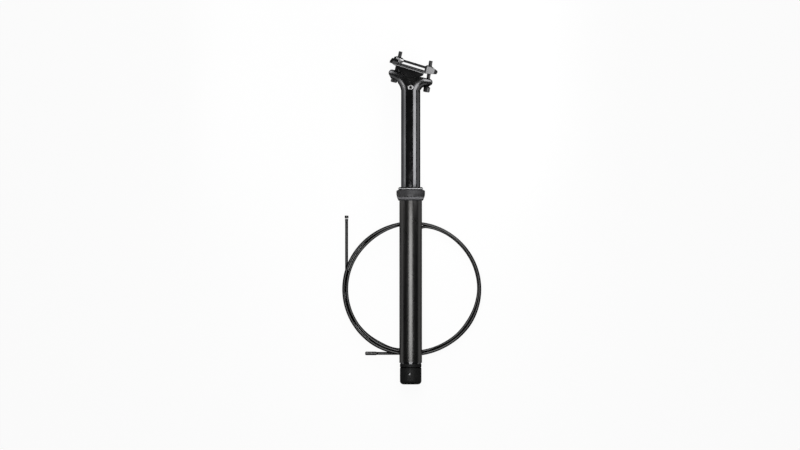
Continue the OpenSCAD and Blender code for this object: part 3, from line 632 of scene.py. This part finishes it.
class SEATPOST_OT_bolt_threads(bpy.types.Operator):
    """Threads of the two clamp bolts, and the finish of bolts, washers and barrel nuts"""

    bl_idname = "seatpost.bolt_threads"
    bl_label = "Clamp bolts"

    def execute(self, context):
        size = settings("seatpost_thread")
        black = turned("bolt_black_oxide", (0.02, 0.02, 0.021), roughness=0.34, pitch=0.0003, depth=0.000002,
                       metallic=0.4)
        black.on("front_bolt", "rear_bolt", "front_washer", "rear_washer")
        nut = turned("barrel_nut_dark_steel", (0.06, 0.06, 0.062), roughness=0.35, pitch=0.00025, depth=0.000002,
                     axis="Z", metallic=0.8)
        nut.on("front_barrel_nut", "rear_barrel_nut")
        for end in ("front", "rear"):
            nut_at = joint_place(end + "_nut_turn")
            axis = nut_at - joint_place(end + "_bolt_tilt")
            axis /= np.linalg.norm(axis)
            piece = self.thread(end + "_bolt_thread", nut_at, axis, size, black.material)
            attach(piece, end + "_bolt")
        return {"FINISHED"}

    def thread(self, name, origin, axis, size, material):
        """A ridge r = root + (crest - root) * |2 f - 1|, where f is the part of a turn in z / pitch - v / (2 pi)."""
        sides, per_pitch = 24, 8
        rings = int((size.below + size.above) / size.pitch * per_pitch)
        z = np.linspace(-size.below, size.above, rings)[:, None]
        v = np.linspace(0.0, 2 * np.pi, sides, endpoint=False)[None]
        wave = np.abs(2.0 * ((z / size.pitch - v / (2 * np.pi)) % 1.0) - 1.0)
        fade = np.clip(np.minimum(z + size.below, size.above - z) / size.pitch, 0.0, 1.0)
        radius = size.root + (size.crest - size.root) * wave * fade
        across = np.array([axis[1], -axis[0], 0.0])
        level = np.cross(axis, across)
        spoke = np.cos(v)[..., None] * across + np.sin(v)[..., None] * level
        points = origin + z[..., None] * axis + radius[..., None] * spoke
        points = points.reshape(-1, 3)
        ends = [list(range(sides))[::-1], list(range(len(points) - sides, len(points)))]
        return new_piece(name, points, grid_faces(rings, sides).tolist() + ends, material)


class SEATPOST_OT_tube_finishes(bpy.types.Operator):
    """Finishes of the lower tube, stanchion, collar and seals"""

    bl_idname = "seatpost.tube_finishes"
    bl_label = "Tubes and collar"

    def execute(self, context):
        colour = settings("seatpost_colour")
        foot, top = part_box("seal_collar")[0][1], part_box("seal_collar")[1][1]
        satin = anodised("lower_tube_satin_black", colour.tube, roughness=0.29, grain=0.0000004, cloud=0.02,
                         **dyed(0.4))
        satin.bump(satin.noise(2500.0, stretch=(1.0, 0.06, 1.0)), depth=0.0000003)
        satin.on("lower_tube")
        gloss = anodised("stanchion_gloss_black", colour.stanchion, roughness=0.15, grain=0.0000002, **dyed(0.08))
        gloss.bump(gloss.lines(pitch=0.0009, wobble=0.6), depth=0.0000002)
        gloss.on("stanchion")
        collar = turned("collar_turned_grey", colour.collar, roughness=0.58, pitch=0.00045, depth=0.000003,
                        **dyed(0.1))
        collar.bump(collar.noise(3500.0, detail=2.0), depth=0.0000015)
        # Painted highlight: a lighter band above the collar's foot, where the notch faces catch the light.
        notch_painted_highlight = (0.11, 0.11, 0.115)
        collar.patch(collar.band(foot + 0.0034, reach=0.0015), notch_painted_highlight).on("seal_collar")
        wiper = moulded("wiper_black_rubber", (0.012, 0.012, 0.012), roughness=0.5, scale=2200.0, depth=0.000006,
                        **dyed(0.1))
        wiper.patch(wiper.band(top + 0.00125, reach=0.00055), colour.wiper).on("wiper_seal")
        foam = Finish("foam_open_cell", (0.16, 0.15, 0.13), roughness=0.9)
        foam.tone(foam.cells(1400.0), 0.6, 1.3)
        foam.bump(foam.cells(1400.0), depth=0.0004)
        foam.on("foam_ring")
        bush = moulded("bushing_polymer", (0.09, 0.085, 0.06), roughness=0.45, scale=2600.0, depth=0.00003)
        bush.on("upper_bushing", "glide_bushing")
        return {"FINISHED"}


class SEATPOST_OT_head_finishes(bpy.types.Operator):
    """Finishes of the seat head, cradle and upper clamp"""

    bl_idname = "seatpost.head_finishes"
    bl_label = "Head and clamp"

    def execute(self, context):
        colour = settings("seatpost_colour")
        self.head(colour)
        front, rear = joint_place("front_nut_turn"), joint_place("rear_nut_turn")
        along = (front - rear) / np.linalg.norm(front - rear)
        up = np.array([-along[1], along[0], 0.0])
        turn = math.degrees(math.atan2(along[1], along[0]))
        self.cradle(colour, (front + rear) / 2 - 0.006 * along, up, turn)
        self.clamp(colour, front + 0.0015 * along - 0.0026 * up, rear + 0.0012 * along - 0.002 * up, turn)
        screw = turned("cap_screw_black", (0.03, 0.03, 0.03), roughness=0.4, pitch=0.0003, depth=0.000002,
                       axis="Z", metallic=0.5)
        screw.on("cap_screw")
        return {"FINISHED"}

    def head(self, colour):
        """Forged black head, with a bare face round the cap screw."""
        forged = anodised("head_forged_black", colour.head, roughness=0.24, grain=0.0000006, **dyed(0.1))
        forged.bump(forged.noise(700.0, detail=2.0), depth=0.000003)
        bare, below_top = (0.42, 0.42, 0.425), 0.0001
        spot = np.mean(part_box("cap_screw"), axis=0)
        spot[2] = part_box("cap_screw")[1][2] - below_top
        forged.patch(forged.inside(spot, (0.0041, 0.0028, 0.00015)), bare).on("seat_head")

    def cradle(self, colour, middle, up, turn):
        """Black cradle, with a grey flank at each side and a painted highlight in a light line along its foot."""
        satin = anodised("cradle_satin_black", colour.cradle, roughness=0.28, grain=0.000001, **dyed(0.1))
        flank, foot_painted_highlight = (0.045, 0.045, 0.046), (0.2, 0.2, 0.202)
        sides = (-CAD_BOX[1][2], CAD_BOX[1][2])
        satin.end_faces(middle - 0.0062 * up, sides, (0.024, 0.0026, 0.0005), turn, flank)
        # Painted highlight: a light line along the cradle's foot, standing in for an edge that catches the light.
        satin.end_faces(middle - 0.0083 * up, sides, (0.024, 0.0005, 0.0005), turn, foot_painted_highlight)
        satin.on("lower_cradle")

    def clamp(self, colour, nose, boss, turn):
        """Black top plate, with bare blasted end faces at its nose and at its rear boss."""
        blasted = Finish("clamp_black_bare_nose", colour.cradle, roughness=0.36, **dyed(0.1))
        blasted.rough(blasted.noise(160.0), 0.06)
        blasted.tone(blasted.noise(220.0, detail=4.0), 0.86, 1.14)
        blasted.bump(blasted.noise(5200.0, detail=2.0), depth=0.000003)
        light, boss_end, plate_end = (0.45, 0.45, 0.455), 0.012, CAD_BOX[1][2]
        blasted.end_faces(nose, (-boss_end, boss_end), (0.0057, 0.0056, 0.0004), turn, colour.clamp)
        ends = (-plate_end, -boss_end, boss_end, plate_end)
        blasted.end_faces(boss, ends, (0.0055, 0.0044, 0.0004), turn, light)
        blasted.on("upper_clamp")


class SEATPOST_OT_actuator_finishes(bpy.types.Operator):
    """Finishes of the cable actuator at the foot of the post"""

    bl_idname = "seatpost.actuator_finishes"
    bl_label = "Actuator"

    def execute(self, context):
        colour = settings("seatpost_colour")
        shell = moulded("actuator_moulded_black", colour.actuator, roughness=0.66, scale=3000.0, depth=0.000006,
                        **dyed(0.1))
        top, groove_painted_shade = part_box("actuator_housing")[1][1], (0.005, 0.005, 0.005)
        # Painted shade: the ring recess near the top of the shell is coloured near black, as if in shadow.
        shell.shade(shell.band(top - 0.0049, reach=0.0008), groove_painted_shade).on("actuator_housing")
        anodised("plug_gloss_black", (0.07, 0.07, 0.072), roughness=0.2, **dyed(0.05)).on("base_plug")
        ring = moulded("o_ring_black", (0.01, 0.01, 0.01), roughness=0.5, scale=2500.0, depth=0.000005)
        ring.on("base_o_ring")
        pin = turned("pin_grey_steel", (0.2, 0.2, 0.205), roughness=0.45, pitch=0.0003, depth=0.000002,
                     axis="Z", metallic=0.9)
        pin.on("lever_pivot_pin")
        anodised("stop_satin_black", (0.02, 0.02, 0.021), roughness=0.36, IOR=1.6).on("cable_stop")
        lever = anodised("lever_alloy", (0.3, 0.3, 0.31), roughness=0.35, grain=0.000002, metallic=0.9)
        lever.on("actuator_lever")
        brass = turned("barrel_brass", (0.6, 0.44, 0.18), roughness=0.3, pitch=0.0003, depth=0.000002,
                       axis="Z", metallic=1.0)
        brass.on("cable_barrel")
        black = turned("grub_screw_black", (0.02, 0.02, 0.02), roughness=0.35, pitch=0.00035, depth=0.000004,
                       axis="Z", metallic=0.3)
        black.on("barrel_screw")
        return {"FINISHED"}


class SEATPOST_OT_cartridge_finishes(bpy.types.Operator):
    """Finishes of the gas cartridge inside the tubes"""

    bl_idname = "seatpost.cartridge_finishes"
    bl_label = "Cartridge"

    def execute(self, context):
        rod = turned("rod_ground_steel", (0.6, 0.6, 0.61), roughness=0.16, pitch=0.0002, depth=0.0000006, metallic=1.0)
        rod.on("piston_rod", "valve_pin")
        turning = {"pitch": 0.0004, "depth": 0.000003, "metallic": 1.0}
        turned("rod_nut_steel", (0.35, 0.35, 0.36), roughness=0.34, **turning).on("rod_nut")
        alloy = turned("cartridge_turned_alloy", (0.55, 0.55, 0.56), roughness=0.3, **turning)
        alloy.on("gas_cylinder", "cylinder_gland", "cylinder_cap")
        brass = turned("piston_brass", (0.58, 0.42, 0.17), roughness=0.28, **turning)
        brass.on("piston", "floating_piston", "key_pins")
        return {"FINISHED"}


class SEATPOST_PT_panel(bpy.types.Panel):
    """Sidebar list of the seatpost's pieces and finishes"""

    bl_idname = "SEATPOST_PT_panel"
    bl_label = "Dropper Seatpost"
    bl_space_type = "VIEW_3D"
    bl_region_type = "UI"
    bl_category = "Seatpost"

    def draw(self, context):
        for operator in OPERATORS:
            self.layout.operator(operator.bl_idname)
        for group in GROUPS:
            chosen = settings(group)
            for key in chosen.bl_rna.properties.keys():
                if key not in ("rna_type", "name"):
                    self.layout.prop(chosen, key)


GROUPS = {
    "seatpost_housing": HousingSize,
    "seatpost_thread": ThreadSize,
    "seatpost_colour": FinishColour,
    "seatpost_studio": StudioSettings,
}
OPERATORS = (
    SEATPOST_OT_stage,
    SEATPOST_OT_cable_housing,
    SEATPOST_OT_bolt_threads,
    SEATPOST_OT_tube_finishes,
    SEATPOST_OT_head_finishes,
    SEATPOST_OT_actuator_finishes,
    SEATPOST_OT_cartridge_finishes,
)


def register():
    for made in (*GROUPS.values(), *OPERATORS, SEATPOST_PT_panel):
        bpy.utils.register_class(made)
    for name, group in GROUPS.items():
        setattr(bpy.types.Scene, name, bpy.props.PointerProperty(type=group))


def unregister():
    for name in GROUPS:
        delattr(bpy.types.Scene, name)
    for made in (SEATPOST_PT_panel, *reversed(OPERATORS), *reversed(GROUPS.values())):
        bpy.utils.unregister_class(made)


def main():
    """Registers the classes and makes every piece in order."""
    register()
    bpy.ops.seatpost.stage()
    bpy.ops.seatpost.cable_housing()
    bpy.ops.seatpost.bolt_threads()
    bpy.ops.seatpost.tube_finishes()
    bpy.ops.seatpost.head_finishes()
    bpy.ops.seatpost.actuator_finishes()
    bpy.ops.seatpost.cartridge_finishes()


if __name__ == "__main__":
    main()
